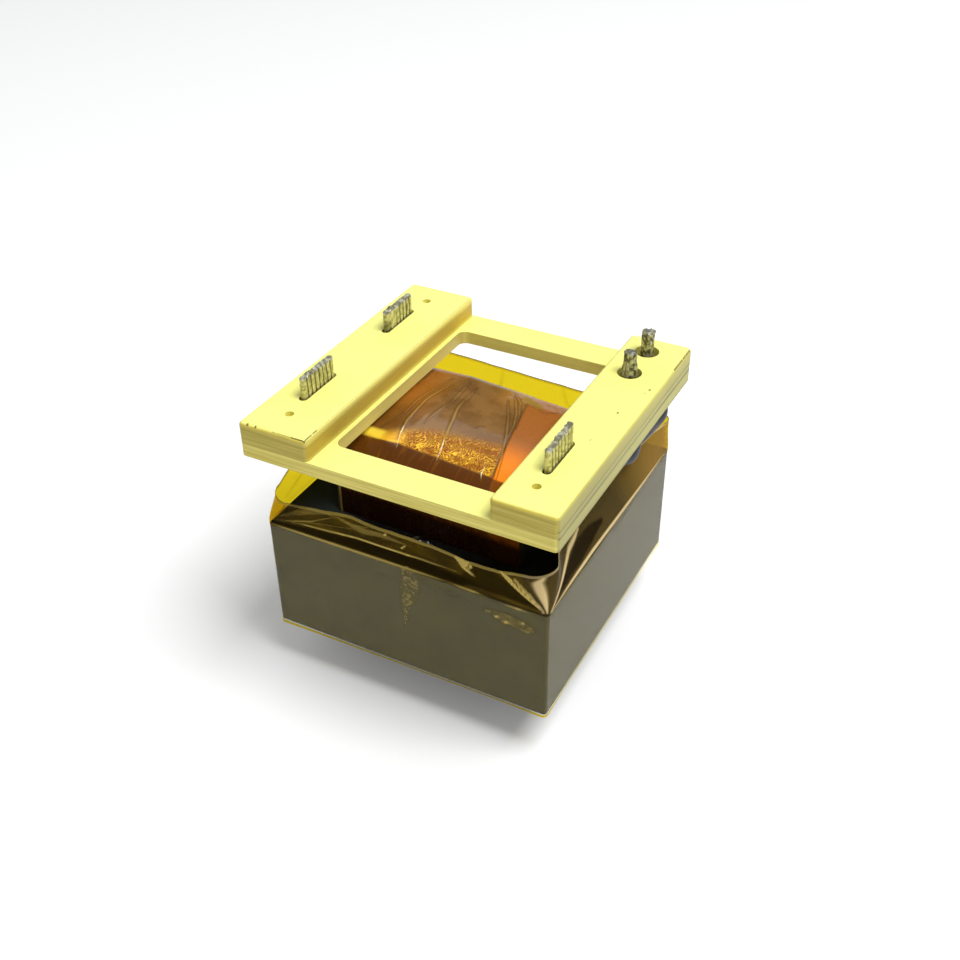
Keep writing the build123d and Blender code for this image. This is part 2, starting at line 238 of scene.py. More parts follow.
table_size = 4.0
table_mesh = bpy.data.meshes.new("table")
corners = [(-1, -1), (1, -1), (1, 1), (-1, 1)]
table_corners = [(x * table_size, y * table_size, 0) for x, y in corners]
table_mesh.from_pydata(table_corners, [], [(0, 1, 2, 3)])
table = bpy.data.objects.new("table", table_mesh)
bpy.context.collection.objects.link(table)
table_lift = 0.1
table_paint = Paint("table_white")
table_seen = ray_kinds(table_paint, "Is Camera Ray", "Is Glossy Ray", "Is Transmission Ray")
table_finish = table_paint.surface(
    base_color=(0.93, 0.935, 0.94),
    roughness=0.7,
    specular_ior_level=0.2,
    emission_color=(1.0, 1.0, 1.0),
    emission_strength=table_seen * table_lift,
)
table_mesh.materials.append(table_finish)


# Ferrite core halves. Each is an E of pressed and sintered ferrite, ground on its mating legs.
# The grey is dead matt. Its top faces are painted darker, nearly black towards the winding, as
# painted shade under the board. The film that clings to the outer sides lends them its amber tint
# and a gloss, so both are given here and the film itself is clear over them.
ferrite = Paint("ferrite_grey")
spot = ferrite.place()
cloud = ferrite.noise(spot, 9.0)
mottled = cloud.rise(0.3, 0.7)
_, _, upward = ferrite.parts(ferrite.node("NewGeometry", output="Normal"))
along, across, _ = ferrite.parts(spot)
# Painted shade: the top faces darker, near black towards the winding.
painted_shade_top = ferrite.blend(along.rise(-25.0, -12.0), tone(42, 46, 47), tone(16, 16, 15))
grey = ferrite.blend(mottled, tone(56, 57, 54), tone(68, 69, 65))
amber = ferrite.blend(mottled, tone(72, 65, 16), tone(77, 70, 19))
outer = along.math("ABSOLUTE").rise(32.3, 32.6)
outer = outer.math("MAXIMUM", across.math("ABSOLUTE").rise(32.0, 32.3))
outer = outer * (1 - upward.math("ABSOLUTE").rise(0.3, 0.6))
ferrite_finish = ferrite.surface(
    base_color=ferrite.coats(grey, (upward.rise(0.5, 0.9), painted_shade_top), (outer, amber)),
    roughness=cloud.rise(0.0, 1.0) * 0.15 + 0.65,
    specular_ior_level=0.0,
    coat_weight=outer * 0.66,
    coat_roughness=0.2,
    coat_ior=1.5,
)


def refinish(nodes, material):
    """Give CAD pieces their finish in place of the plain one."""
    for name in nodes:
        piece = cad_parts[name]
        piece.data.materials.clear()
        piece.data.materials.append(material)


refinish(["core_half_left", "core_half_right"], ferrite_finish)

# Coil former. A thin moulded tube with two cheeks, dark brown and a little glossy. A pale line is
# painted down the rim of the left cheek, and the right cheek is painted near black as painted
# shade under the board.
former = Paint("former_brown")
spot = former.place()
mottle = former.noise(spot, 3.0)
along, across, _ = former.parts(spot)
pale_rim = along.band(-21.6, -21.1, 0.1) * (1 - across.rise(-21.4, -21.2))
brown = former.coats(
    former.blend(mottle, tone(52, 46, 34), tone(70, 62, 46)),
    # Painted shade: the right cheek near black.
    (along.rise(20.0, 21.0), tone(20, 18, 13)),
    (pale_rim, tone(140, 120, 74)),
)
former_finish = former.surface(
    base_color=brown, roughness=0.45, normal=former.bump(former.noise(spot, 0.6), 0.02)
)
refinish(["coil_former"], former_finish)


# Inner windings and the tape between them. Enamelled wire lies in turns across the coil's axis,
# and each layer of wire is covered by a turn of yellow tape. The outer tape hides them all.
wire_pitch = 1.1
wire = Paint("copper_enamelled")
spot = wire.place()
along, _, _ = wire.parts(spot)
turn = (along * (2 * math.pi / wire_pitch)).math("COSINE") * 0.5 + 0.5
uneven = wire.noise(spot, 2.5)
enamel = wire.blend(uneven, tone(196, 110, 60), tuple(0.75 * c for c in tone(196, 110, 60)))
copper_finish = wire.surface(
    # The grooves between the turns are painted dark, as painted shade.
    base_color=wire.blend(turn.rise(0.75, 1.0), enamel, tone(60, 22, 8)),
    metallic=0.6,
    roughness=uneven * 0.2 + 0.25,
    normal=wire.bump(1 - turn, 0.3),
)
refinish(["primary_inner", "secondary_inner", "secondary_outer", "primary_outer"], copper_finish)

tape = Paint("tape_yellow")
tape_cloud = tape.noise(tape.place(), 4.0)
tape_finish = tape.surface(
    base_color=tape.blend(tape_cloud, tone(214, 168, 50), tone(196, 140, 34)),
    roughness=0.25,
    normal=tape.bump(tape_cloud, 0.1),
)
refinish(["insulation_inner", "insulation_middle", "insulation_outer"], tape_finish)


# Outer wrap. Amber film tape drawn tight round the bellied winding. It is smooth and glossy over
# the front shoulder, where the turns of wire press a pebbled pattern through it, and slack on top,
# where it lies in long folds. The last turn's edge shows on the right, and its torn end behind.
def add_piece(name, node, slot, material, points, closed=False, **carried):
    """Make a piece of four-sided faces on a grid of points, in millimetres, and let it stand for
    its CAD node. The grid's last column joins its first, and so does its last row where it is
    closed. Each point carries numbers that the finish reads, under the names they are given by."""
    rows, columns = points.shape[:2]
    index = np.arange(rows * columns).reshape(rows, columns)
    index = np.hstack([index, index[:, :1]])
    if closed:
        index = np.vstack([index, index[:1]])
    quads = np.stack([index[:-1, :-1], index[:-1, 1:], index[1:, 1:], index[1:, :-1]], axis=-1)
    mesh = bpy.data.meshes.new(name)
    mesh.from_pydata((points.reshape(-1, 3) * mm).tolist(), [], quads.reshape(-1, 4).tolist())
    mesh.shade_smooth()
    mesh.materials.append(material)
    for attribute, values in carried.items():
        stored = mesh.attributes.new(attribute, "FLOAT_VECTOR", "POINT")
        stored.data.foreach_set("vector", np.ascontiguousarray(values, np.float32).ravel())
    piece = bpy.data.objects.new(name, mesh)
    bpy.context.collection.objects.link(piece)
    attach(piece, "root")
    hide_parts(node)


def box_of(node):
    """The lowest and the highest corner of a CAD piece, in millimetres."""
    return [np.array(corner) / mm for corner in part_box(node)]


def side_by_side(*values):
    """Put numbers together at each place of a grid, each spread over the whole grid first."""
    return np.stack(np.broadcast_arrays(*values), axis=-1)


def clouds(across, along, size, seed):
    """Smooth waviness from -1 to 1: the mean of eight sine waves with chosen directions, whose
    lengths lie round the given size."""
    chooser = np.random.default_rng(seed)
    total = 0.0
    for _ in range(8):
        turn = chooser.uniform(0, 2 * math.pi)
        length = size * chooser.uniform(0.7, 1.8)
        phase = chooser.uniform(0, 2 * math.pi)
        travel = across * math.cos(turn) + along * math.sin(turn)
        total = total + np.sin(2 * math.pi * travel / length + phase)
    return total / 8


def nearest_on(across, along, points):
    """The distance to a line drawn through a row of points, and the share of the line's length at
    the place on it that is nearest."""
    points = np.array(points, float)
    runs = np.diff(points, axis=0)
    lengths = np.linalg.norm(runs, axis=1)
    nearest = np.full(np.shape(across), np.inf)
    share = np.zeros(np.shape(across))
    for start, run, length, before in zip(points, runs, lengths, np.cumsum(lengths) - lengths):
        part = ((across - start[0]) * run[0] + (along - start[1]) * run[1]) / length**2
        part = np.clip(part, 0, 1)
        distance = np.hypot(across - start[0] - part * run[0], along - start[1] - part * run[1])
        share = np.where(distance < nearest, (before + part * length) / lengths.sum(), share)
        nearest = np.minimum(nearest, distance)
    return nearest, share


def fold(across, along, points, width):
    """A crease along a row of points: 1 on the line, falling off with the distance from it over
    width as exp(-distance / width), and fading out towards both ends."""
    distance, share = nearest_on(across, along, points)
    return np.sin(np.pi * np.clip(share, 0.04, 0.96)) ** 0.4 * np.exp(-distance / width)


def stroke(across, along, points, half_widths, soft=0.3):
    """A painted stroke along a row of points: 1 inside, with a soft edge, and as wide at each point
    as its half width says."""
    distance, share = nearest_on(across, along, points)
    reach = np.interp(share, np.linspace(0, 1, len(half_widths)), half_widths)
    edge = np.clip((reach - distance) / soft + 0.5, 0, 1)
    return edge * edge * (3 - 2 * edge)


coil_end, coil_half_width, coil_crest = box_of("outer_wrap")[1]
crest_x = -10.0
fall_left, fall_right = 0.3, 2.4
coil_crown = 2.5
shoulder_radius = 8.0
underside_radius = 9.0
wrap_thickness = 0.45
fold_width, fold_height = 0.25, 0.09
last_edge_x, last_edge_slant = 9.1, 0.19
last_edge_step = 0.12
slack_depth = 0.04
bulge_line, bulge_half_widths, bulge_height = [(-20.6, -13.4), (-19.0, -13.4)], [2.6, 1.0], 0.45


def outline_points(inset):
    """The coil's outline across its axis, clockwise from the middle of its top as seen from +X,
    and the direction outward. The top is a shallow arc with the given crown, and the shoulders
    and the lower corners are arcs joined by straight sides. Everything is inset by a distance."""
    crown_radius = (coil_half_width**2 + coil_crown**2) / (2 * coil_crown)
    middle_radius = crown_radius - shoulder_radius
    shoulder_y = coil_half_width - shoulder_radius
    shoulder_turn = math.asin(shoulder_y / middle_radius)
    side_top = coil_crest - crown_radius + middle_radius * math.cos(shoulder_turn)
    corner_y = coil_half_width - underside_radius
    crown = np.linspace(0, shoulder_turn, 58)[:-1]
    shoulder = np.linspace(shoulder_turn, math.pi / 2, 42)[:-1]
    side = np.linspace(side_top, underside_radius, 34)[:-1]
    corner = np.linspace(math.pi / 2, math.pi, 14)[:-1]
    under = np.linspace(corner_y, 0, 8)
    runs = [
        (crown_radius * np.sin(crown), coil_crest - crown_radius * (1 - np.cos(crown)), crown),
        (
            shoulder_y + shoulder_radius * np.sin(shoulder),
            side_top + shoulder_radius * np.cos(shoulder),
            shoulder,
        ),
        (coil_half_width, side, math.pi / 2),
        (
            corner_y + underside_radius * np.sin(corner),
            underside_radius * (1 + np.cos(corner)),
            corner,
        ),
        (under, 0.0, math.pi),
    ]
    right = np.concatenate([side_by_side(*run) for run in runs])
    full = np.concatenate([right, right[1:-1][::-1] * (-1, 1, -1)])
    outward = side_by_side(np.sin(full[:, 2]), np.cos(full[:, 2]))
    return full[:, :2] - inset * outward, outward


def top_at(x):
    """Height of the coil's top along its axis: straight slopes down from the crest to both ends."""
    left = np.clip((crest_x - x) / (crest_x + coil_end), 0, 1)
    right = np.clip((x - crest_x) / (coil_end - crest_x), 0, 1)
    return coil_crest - fall_left * left - fall_right * right


# The folds: a line along the axis and round the coil from the middle of its top, and how strong
# the fold is
wrap_folds = [
    (
        [(-10.8, 13.1), (-12.8, 1.5), (-12.5, -7.4), (-11.4, -12.2), (-10.1, -15.5), (-9.7, -20.0)],
        1.0,
    ),
    ([(-5.8, 7.5), (-5.1, 1.4), (-3.6, -4.4), (-2.3, -9.5), (-1.4, -12.5), (0.0, -19.0)], 1.0),
    ([(-7.6, 3.0), (-8.4, -2.6), (-8.7, -6.8)], 0.7),
    ([(-12.6, 13.5), (-14.4, 0.7), (-14.4, -6.0), (-16.5, -11.7)], 0.7),
    ([(-8.3, 13.5), (-7.5, 4.6), (-7.3, 0.6)], 0.7),
    ([(-6.0, 12.0), (-5.2, 6.0), (-5.6, 2.0)], 0.6),
    ([(2.2, 11.2), (6.0, 3.6), (8.1, -1.3), (10.0, -6.8), (11.7, -12.7), (13.0, -17.4)], 0.7),
    ([(2.5, 14.1), (6.2, 7.3), (8.0, 2.3), (9.0, -3.0)], 0.7),
    ([(4.0, 13.6), (7.2, 6.5), (8.8, 1.5)], 0.6),
    ([(9.0, -11.5), (9.2, -14.9), (10.4, -17.5)], 0.9),
    ([(1.8, 15.5), (5.3, 11.4), (7.8, 12.6), (11.1, 11.2), (13.5, 13.2)], 0.6),
    ([(1.7, -2.9), (3.0, -1.5)], 0.6),
]


def wrap_relief(x, reach, outward):
    """How far the tape stands out from the coil's true outline, and how much of a fold there is at
    each place. x runs along the axis and reach round the outline from the middle of the top,
    negative to the front."""
    slack = np.clip(outward[:, 1], 0, 1) ** 2
    relief = slack_depth * clouds(x, reach * 0.5, 9.0, seed=3) * slack
    folded = 0.0
    for points, strength in wrap_folds:
        one = fold(x, reach, points, fold_width) * strength
        relief = relief + one * fold_height
        folded = np.maximum(folded, one)
    relief += bulge_height * stroke(x, reach, bulge_line, bulge_half_widths, soft=4.0)
    past_edge = x + last_edge_slant * reach - last_edge_x
    relief -= last_edge_step / (1 + np.exp(-past_edge / last_edge_step))
    return np.clip(relief, -0.25, 0.5), folded


outline, outward = outline_points(0.0)
steps = np.linalg.norm(np.diff(outline, axis=0, append=outline[:1]), axis=1)
reach = np.cumsum(steps) - steps
reach = np.where(reach > steps.sum() / 2, reach - steps.sum(), reach)
across = np.linspace(-coil_end, coil_end, 200)
grid_x, grid_reach = np.broadcast_arrays(across[:, None], reach)
relief, folded = wrap_relief(grid_x, grid_reach, outward)
relief = relief * np.clip((coil_end - np.abs(grid_x)) / 0.6, 0, 1)
upper_share = np.clip((outline[:, 1] - underside_radius) / (coil_crest - underside_radius), 0, 1)
inside_x = np.array([[coil_end], [0.0], [-coil_end]])
skins = []
for x, inset, raised in ((grid_x, 0.0, relief), (inside_x, wrap_thickness, 0.0)):
    line, _ = outline_points(inset)
    y, z = line[:, 0] + raised * outward[:, 0], line[:, 1] + raised * outward[:, 1]
    z = np.clip(z - (coil_crest - top_at(x)) * upper_share, 0, coil_crest)
    skins.append(side_by_side(x, y, z))
wrap_points = np.concatenate(skins)[::-1]
folded = np.pad(folded, ((0, len(inside_x)), (0, 0)))[::-1]
tape_places = side_by_side(wrap_points[..., 0], reach, folded)

wrap = Paint("wrap_amber")
along, round_coil, folded = wrap.parts(wrap.attribute("tape"))
spot = wrap.place()
broad = wrap.noise(spot, 6.0)
left_orange = (1 - along.rise(-15.5, -8.0)) * (round_coil + broad * 8.0).rise(-6.0, 6.0)
low_left = (1 - along.rise(-14.0, -9.0)) * (1 - round_coil.rise(-6.0, 2.0))
back_warm = round_coil.rise(6.0, 13.0) * along.rise(-4.0, 3.0)
to_edge = along + round_coil * last_edge_slant
right_strip = to_edge.rise(8.9, 9.2)
# Painted highlight: the last turn's strip is brighter towards the front.
strip_highlight = 1 - round_coil.rise(-11.0, -1.0)
strip_tone = wrap.blend(strip_highlight, tone(160, 94, 30), tone(248, 136, 6))
edge_shade = to_edge.band(8.4, 9.0, 0.15)
front_dark = 1 - round_coil.rise(-15.5, -14.9)
strands = wrap.noise(wrap.stretch(spot, (1.0, 0.1, 0.1)), 0.9, detail=1.0)
# Painted light and shade on the front face: a lit red band high up, and near black low down.
lit = (round_coil + broad * 2.0).band(-25.5, -19.0, 0.8)
deep = 1 - (round_coil + wrap.noise(spot, 1.2) * 1.6).rise(-28.5, -26.5)
# The pressed band takes a painted gold glow, a painted highlight brightest along its lower edge,
# with a hotter spot of it at the left end. Its ridges are the pebbled pattern pressed through.
glow_top = (along * 0.535 - 3.96).math("MINIMUM", along * 0.21 - 6.17)
pressed = round_coil.rise(-15.3, -14.7) * (1 - (round_coil - glow_top).rise(-3.0, 1.0))
pressed = pressed * (1 - to_edge.rise(8.1, 9.0)) * along.rise(-20.4, -19.4)
grained = along.rise(-13.5, -8.0)
swirl = wrap.noise(wrap.stretch(spot, (1.0, 0.7, 1.0)), 2.0, detail=1.0, distortion=0.4)
ridge = ((swirl * 76.0).math("SINE") * 0.5 + 0.5) * grained + (1 - grained)
low_down = 1 - round_coil.rise(-14.0, -8.5)
glow_strength = wrap.noise(spot, 3.2).rise(0.35, 0.6) * (low_down * 0.6 + 0.4)
glow_strength = glow_strength.math("MAXIMUM", (1 - grained) * low_down * 0.7)
gold_glow = wrap.blend(ridge * (glow_strength * 0.75 + 0.25), tone(140, 70, 6), tone(255, 198, 50))
hot_highlight = along.band(-19.6, -14.6, 0.9) * round_coil.band(-14.9, -12.4, 0.7)
torn = (round_coil - along * 0.05).band(12.4, 17.2, 0.7) * along.band(1.4, 14.2, 0.8)
torn = torn * wrap.noise(spot, 2.2, distortion=1.0).rise(0.36, 0.52)
patch = along.band(4.4, 9.6, 0.6) * (round_coil + along * 0.35).band(15.0, 17.2, 0.5)
# Painted highlights on the fold crests, painted shade beside them, and painted white glints.
crest = folded.rise(0.35, 0.65) * (1 - front_dark * 0.5)
beside_shade = folded.band(0.08, 0.26, 0.04) * (1 - front_dark) * (1 - pressed)
glint = folded.rise(0.45, 0.8) * round_coil.band(-15.8, -9.8, 0.8)
body = wrap.coats(
    wrap.blend(broad.rise(0.35, 0.65), tone(114, 76, 22), tone(136, 96, 42)),
    (left_orange * 0.8, tone(158, 92, 20)),
    (low_left * 0.5, tone(112, 62, 10)),
    (back_warm * 0.7, tone(168, 116, 36)),
    (right_strip, strip_tone),
    (edge_shade * 0.5, tone(96, 60, 20)),
    (front_dark * (1 - right_strip * 0.12), tone(92, 50, 8)),
    (front_dark * strands.rise(0.55, 0.7) * 0.3, tone(150, 92, 20)),
    (lit * 0.8, tone(176, 84, 26)),
    (deep * 0.9, tone(22, 8, 4)),
    (pressed, gold_glow),
    (hot_highlight * 0.8, tone(255, 226, 70)),
    (torn * 0.6, tone(170, 142, 118)),
    (patch * 0.85, tone(150, 116, 26)),
    (crest * 0.5, tone(176, 146, 44)),
    (beside_shade * 0.45, tone(70, 44, 14)),
    (glint, tone(255, 246, 205)),
)
pebbles = wrap.bump(ridge * pressed * grained, 0.04, under=wrap.bump(wrap.noise(spot, 2.6), 0.08))
wrap_finish = wrap.surface(
    base_color=body,
    metallic=pressed * 0.3,
    roughness=wrap.noise(spot, 3.0) * 0.12 + 0.22,
    specular_ior_level=0.12,
    coat_weight=(1 - pressed * 0.7) * (1 - right_strip * 0.85) * 0.25,
    coat_roughness=0.07,
    coat_ior=1.45,
    normal=pebbles,
)
add_piece(
    "wrap_tape", "outer_wrap", "wrap", wrap_finish, wrap_points, closed=True, tape=tape_places,
)


# Film band. Several turns of clear amber film are wound round the core's four sides. Below they
# cling to the ferrite, and above they stand free as a skirt, creased at the corners, with a wavy
# rim. Light that falls through two skins of it turns deep yellow.
core_low, core_high = box_of("core_half_left")
core_bottom, core_top = core_low[2], core_high[2]
film_thickness = 0.1
film_stand_off = 0.14
band_half_length = film_stand_off - core_low[0]
band_half_width = film_stand_off + core_high[1]
tight_corner = 1.1
open_corner = 5.5
open_height = 7.0
wall_columns = 120
corner_columns = 12
sway_height, sway_depth, cling_depth = 4.0, 0.25, 0.02
# At even steps along each wall, from its left or front end: how high the rim stands over the
# core, how far the wall leans in at lean_height, and how far the film hangs below the core
rims = {
    "front": [6.5, 6.0, 6.7, 6.3, 6.3, 6.1, 5.4, 5.9, 8.0],
    "right": [8.0, 7.6, 7.4, 7.3, 7.4, 8.0, 9.1, 9.7, 8.6],
    "back": [10.2, 10.4, 10.1, 9.8, 9.4, 9.1, 8.9, 8.6, 8.3],
    "left": [6.5, 8.6, 8.8, 8.8, 8.8, 9.0, 9.3, 9.8, 10.2],
}
leans = {
    "front": [0.3, 2.6, 3.0, 3.0, 3.0, 3.0, 3.0, 2.4, 0.6],
    "right": [0.6, 3.4, 4.2, 4.2, 4.2, 3.4, 2.0, 0.9, 0.0],
    "back": [0.0] * 9,
    "left": [0.3] + [0.0] * 8,
}
lean_height = 8.0
hems = {
    "front": [0.6, 0.45, 0.35, 0.3, 0.25, 0.2, 0.2, 0.25, 0.45],
    "right": [0.45, 0.1] + [0.08] * 5 + [0.1, 0.3],
    "back": [0.4] + [0.3] * 8,
    "left": [0.6, 0.5] + [0.4] * 7,
}


def smooth_line(known, values, where):
    """Read a smooth line through known points: between two of them it is a cubic, whose slope at
    each is worked out from its neighbours."""
    known, values = np.asarray(known, float), np.asarray(values, float)
    slopes = np.gradient(values, known)
    i = np.clip(np.searchsorted(known, where) - 1, 0, len(known) - 2)
    width = known[i + 1] - known[i]
    t = (where - known[i]) / width
    first = (2 * t**3 - 3 * t**2 + 1) * values[i] + (t**3 - 2 * t**2 + t) * width * slopes[i]
    second = (3 * t**2 - 2 * t**3) * values[i + 1] + (t**3 - t**2) * width * slopes[i + 1]
    return first + second


def band_columns():
    """Walk once round the band, from the left end of the front wall: for each column the share of
    the way to each side and the direction outward."""
    share = np.linspace(-1, 1, wall_columns)
    turn = np.linspace(0, math.pi / 2, corner_columns + 2)[1:-1]
    one_wall, one_corner = np.ones(wall_columns), np.ones(corner_columns)
    side_x = [share, one_corner, one_wall, one_corner, -share, -one_corner, -one_wall, -one_corner]
    side_y = [-one_wall, -one_corner, share, one_corner, one_wall, one_corner, -share, -one_corner]
    direction = []
    for quarter in range(4):
        start = (quarter - 1) * math.pi / 2
        direction += [np.full(wall_columns, start), start + turn]
    return np.concatenate(side_x), np.concatenate(side_y), np.concatenate(direction)


side_x, side_y, direction = band_columns()
flat_x = (band_half_length - tight_corner) * side_x + tight_corner * np.cos(direction)
flat_y = (band_half_width - tight_corner) * side_y + tight_corner * np.sin(direction)
walked = np.hypot(np.diff(flat_x, prepend=flat_x[0]), np.diff(flat_y, prepend=flat_y[0])).cumsum()
middle_front = walked[wall_columns // 2] - (walked[1] - walked[0]) / 2
walked = walked - middle_front
half_round = band_half_length + band_half_width - (4 - math.pi) * tight_corner / 2
middles = {"front": 0.0, "right": half_round, "back": 2 * half_round, "left": 3 * half_round}


def round_band(stations):
    """Read numbers, given at even steps along each wall, as a smooth line all the way round."""
    known, values = [], []
    for wall, numbers in stations.items():
        half = band_half_length if wall in ("front", "back") else band_half_width
        spread = np.linspace(-half, half, len(numbers))
        if wall in ("back", "left"):
            spread, numbers = -spread[::-1], numbers[::-1]
        known += [middles[wall] + s for s in spread[1:-1]]
        values += list(numbers[1:-1])
        known.append(middles[wall] + half_round / 2)
        values.append(numbers[-1])
    known = [known[-1] - 4 * half_round, *known, known[0] + 4 * half_round]
    return smooth_line(known, [values[-1], *values, values[0]], walked)


rim = round_band(rims) + 0.12 * clouds(walked, 0 * walked, 6.0, seed=11)
lean, hem = round_band(leans), round_band(hems)
low_shares = np.linspace(1, 0, 44)[:-1, None]
high_shares = np.linspace(0, 1, 30)[:, None]
level = np.concatenate([low_shares * (core_bottom - core_top - hem), high_shares * rim])
station, _ = np.broadcast_arrays(walked, level)
opened = np.clip(level / open_height, 0, 1)
opened = opened * opened * (3 - 2 * opened)
back_right = np.exp(-(((walked - 1.5 * half_round) / 12.0) ** 2))
corner_radius = tight_corner + (open_corner - tight_corner) * opened * (1 - 0.65 * back_right)

# Creases, wall by wall: the line along the wall and over the core's top, its width, how far it
# stands out and how pale it is, the paleness being a painted highlight along the crease
film_creases = {
    "front": [
        ([(-32.2, 0.0), (-23.0, 0.0), (4.0, 0.1), (12.0, 0.1)], 0.18, 0.05, 0.8),
        ([(10.0, 0.1), (16.5, 0.0), (21.6, -0.4), (31.5, -0.9)], 0.18, 0.05, 0.7),
        ([(-28.7, 1.8), (-17.5, 2.4), (-11.8, 2.8), (3.8, 2.9), (13.0, 2.7)], 0.16, 0.15, 0.6),
        ([(-32.0, 1.3), (-28.7, 1.9), (-23.5, 3.2), (-18.7, 5.8)], 0.2, 0.2, 0.35),
        ([(-25.1, 5.6), (-18.6, 5.7), (-13.6, 5.2), (-8.0, 5.8)], 0.2, 0.15, 0.3),
        ([(-27.0, 2.4), (-20.0, 3.4), (-13.0, 4.4), (-9.0, 4.0)], 0.25, 0.12, 0.22),
        ([(-5.3, 5.1), (-4.7, 5.7)], 0.14, 0.1, 0.9),
        ([(-0.4, 3.7), (0.3, 4.4)], 0.14, 0.1, 0.9),
        ([(1.0, 2.8), (1.9, 2.9)], 0.14, 0.1, 0.9),
        ([(14.7, 6.1), (20.4, 6.3), (24.6, 6.0), (28.8, 5.2)], 0.14, 0.12, 0.45),
        ([(13.6, 5.0), (14.7, 4.1), (17.3, 3.0)], 0.35, 0.3, 0.6),
        ([(15.2, 5.3), (16.3, 4.0)], 0.2, 0.25, 1.0),
        ([(16.2, 5.4), (17.1, 4.2)], 0.2, 0.25, 1.0),
        ([(24.4, 6.0), (27.4, 4.0), (31.0, 1.6), (31.9, 0.5)], 0.2, 0.3, 0.7),
        ([(28.6, 5.3), (29.9, 3.7), (32.0, 0.6)], 0.3, 0.3, 0.7),
        ([(32.7, 7.6), (32.4, 6.4), (32.5, 3.5), (32.6, 0.6)], 0.2, 0.2, 1.0),
        ([(18.9, -3.5), (24.9, -3.4), (27.4, -3.8), (30.1, -4.9)], 0.22, 0.06, 0.8),
        ([(18.9, -3.6), (24.3, -5.3), (28.6, -5.7), (30.1, -4.9)], 0.22, 0.06, 1.0),
        ([(-6.0, -3.9), (-0.3, -4.2)], 0.15, 0.02, 0.25),
        ([(-24.3, -16.5), (-22.1, -16.3)], 0.15, 0.02, 0.35),
    ],
    "right": [
        ([(-31.8, 0.2), (-24.6, 0.4), (-10.4, 0.6), (0.0, 0.4), (31.8, 0.2)], 0.2, 0.12, 1.0),
        ([(-31.5, 0.6), (-29.4, 1.7), (-20.7, 5.3), (-16.7, 5.7), (-14.0, 6.2)], 0.4, 0.35, 1.0),
        ([(0.0, -2.0), (7.7, -1.9), (11.1, -1.1), (14.7, -1.7), (24.0, -1.5)], 0.14, 0.05, 0.45),
        ([(-7.5, -16.2), (-11.0, -18.8), (-14.3, -23.5), (-22.4, -25.9), (-28.6, -26.8)],
         0.16, 0.03, 0.2),
        ([(12.0, 8.5), (18.0, 9.2), (25.0, 9.5), (31.5, 8.5)], 0.16, 0.0, 1.0),
    ],
    "back": [
        ([(-31.0, 0.1), (31.0, 0.1)], 0.25, 0.16, 0.3),
        ([(-14.5, 0.5), (-12.0, 5.0), (-11.6, 9.5)], 0.3, 0.35, 0.2),
        ([(12.0, 1.0), (8.0, 4.0), (6.5, 9.0)], 0.3, 0.3, 0.2),
    ],
    "left": [
        ([(-31.0, 0.1), (31.0, 0.1)], 0.25, 0.16, 0.3),
        ([(-26.0, 2.0), (-12.0, 7.0)], 0.35, 0.25, 0.2),
    ],
}
# Painted strokes: the wall, the line, its half widths, whether it is a painted highlight, painted
# shade or a glue mark, and how strong it is
highlight_kind, shade_kind, glued_kind = 0, 1, 2
film_strokes = [
    ("right", [(-30.0, 3.5), (30.0, 3.5)], [5.0, 5.0], highlight_kind, 0.08),
    ("front", [(-31.6, 2.2), (-28.6, 4.2), (-25.0, 5.3), (-20.5, 5.7)],
     [0.3, 0.9, 0.8, 0.2], highlight_kind, 0.22),
    ("front", [(24.6, 6.1), (27.2, 4.8), (29.3, 2.9), (31.1, 1.3)],
     [0.2, 0.7, 0.5, 0.1], highlight_kind, 0.6),
    ("front", [(29.2, 5.2), (31.0, 3.6), (32.0, 0.8)], [0.9, 0.6, 0.2], highlight_kind, 0.35),
    ("front", [(20.5, -4.0), (25.0, -4.4), (29.0, -5.0)], [0.2, 0.8, 0.3], highlight_kind, 0.3),
    ("front", [(-18.0, 5.4), (-10.0, 4.6), (-6.0, 5.0), (2.0, 4.6)],
     [0.1, 0.7, 0.5, 0.1], highlight_kind, 0.25),
    ("front", [(13.0, 5.4), (15.0, 4.8), (17.0, 4.0)], [0.3, 0.9, 0.3], highlight_kind, 0.5),
    ("front", [(-32.0, 0.6), (-23.0, 1.0), (-11.6, 1.5), (4.0, 1.6), (14.0, 1.2)],
     [0.2, 0.7, 1.1, 1.1, 0.9], shade_kind, 1.0),
    ("front", [(14.0, 1.5), (18.0, 3.4), (23.0, 3.2), (27.5, 1.9), (31.2, 0.8)],
     [0.7, 2.4, 2.3, 1.2, 0.1], shade_kind, 0.8),
    ("front", [(28.0, 5.4), (28.6, 4.6), (29.2, 3.9)], [0.2, 0.3, 0.1], shade_kind, 1.0),
    ("front", [(-32.7, 5.0), (-32.7, 0.8)], [1.3, 0.5], shade_kind, 0.7),
    ("right", [(-28.5, 1.1), (-21.0, 2.5), (-15.0, 3.1), (-8.0, 3.3), (-3.5, 3.0)],
     [0.1, 1.1, 1.8, 1.5, 0.4], shade_kind, 1.0),
    ("right", [(-17.6, -22.7), (-15.6, -20.2)], [0.5, 0.9], shade_kind, 0.25),
    ("front", [(1.6, -1.0), (2.2, -3.0), (1.6, -6.0), (0.8, -9.5), (0.2, -16.3)],
     [1.6, 2.3, 1.6, 0.7, 0.1], glued_kind, 1.0),
    ("front", [(5.0, -2.0), (11.0, -2.6), (16.0, -3.2)], [1.0, 0.9, 0.3], glued_kind, 0.5),
]


def on_wall(wall, points):
    """Points along a wall, given from its middle, as places on the walk round the band."""
    flip = -1 if wall in ("back", "left") else 1
    return [(middles[wall] + flip * across, up) for across, up in points]


